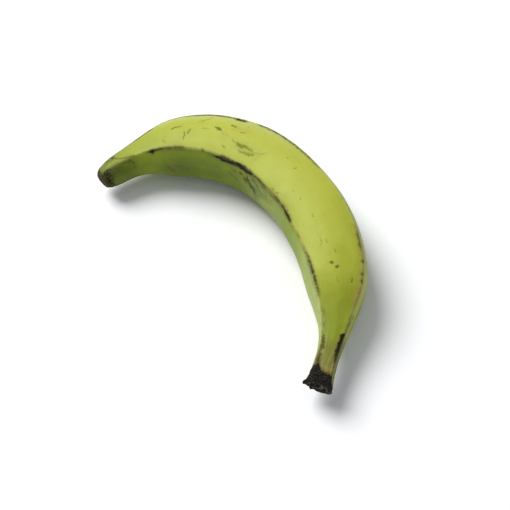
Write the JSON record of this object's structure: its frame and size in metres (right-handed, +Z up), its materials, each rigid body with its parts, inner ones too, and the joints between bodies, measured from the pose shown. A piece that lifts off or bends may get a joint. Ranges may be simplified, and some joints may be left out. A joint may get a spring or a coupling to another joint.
{
  "type": "plantain",
  "caption": "Green plantain, whole: a bent, softly ridged fruit with a blunt blossom tip, a narrow neck and a dark cut stem, lying on its side.",
  "frame": {"origin": "on the level surface the fruit lies on, under the middle of its box", "axes": "+X along the fruit, from the blossom tip towards the cut stem; +Y towards the outside of its bend; +Z up, away from the surface"},
  "size_m": [0.2196, 0.1098, 0.0423],
  "materials": {
    "peel": "waxy green peel with brown-black scuffs along the ridges, a corky blossom scar and a black torn stem end"
  },
  "bodies": {
    "root": {"plantain": "peel"}
  },
  "joints": []
}
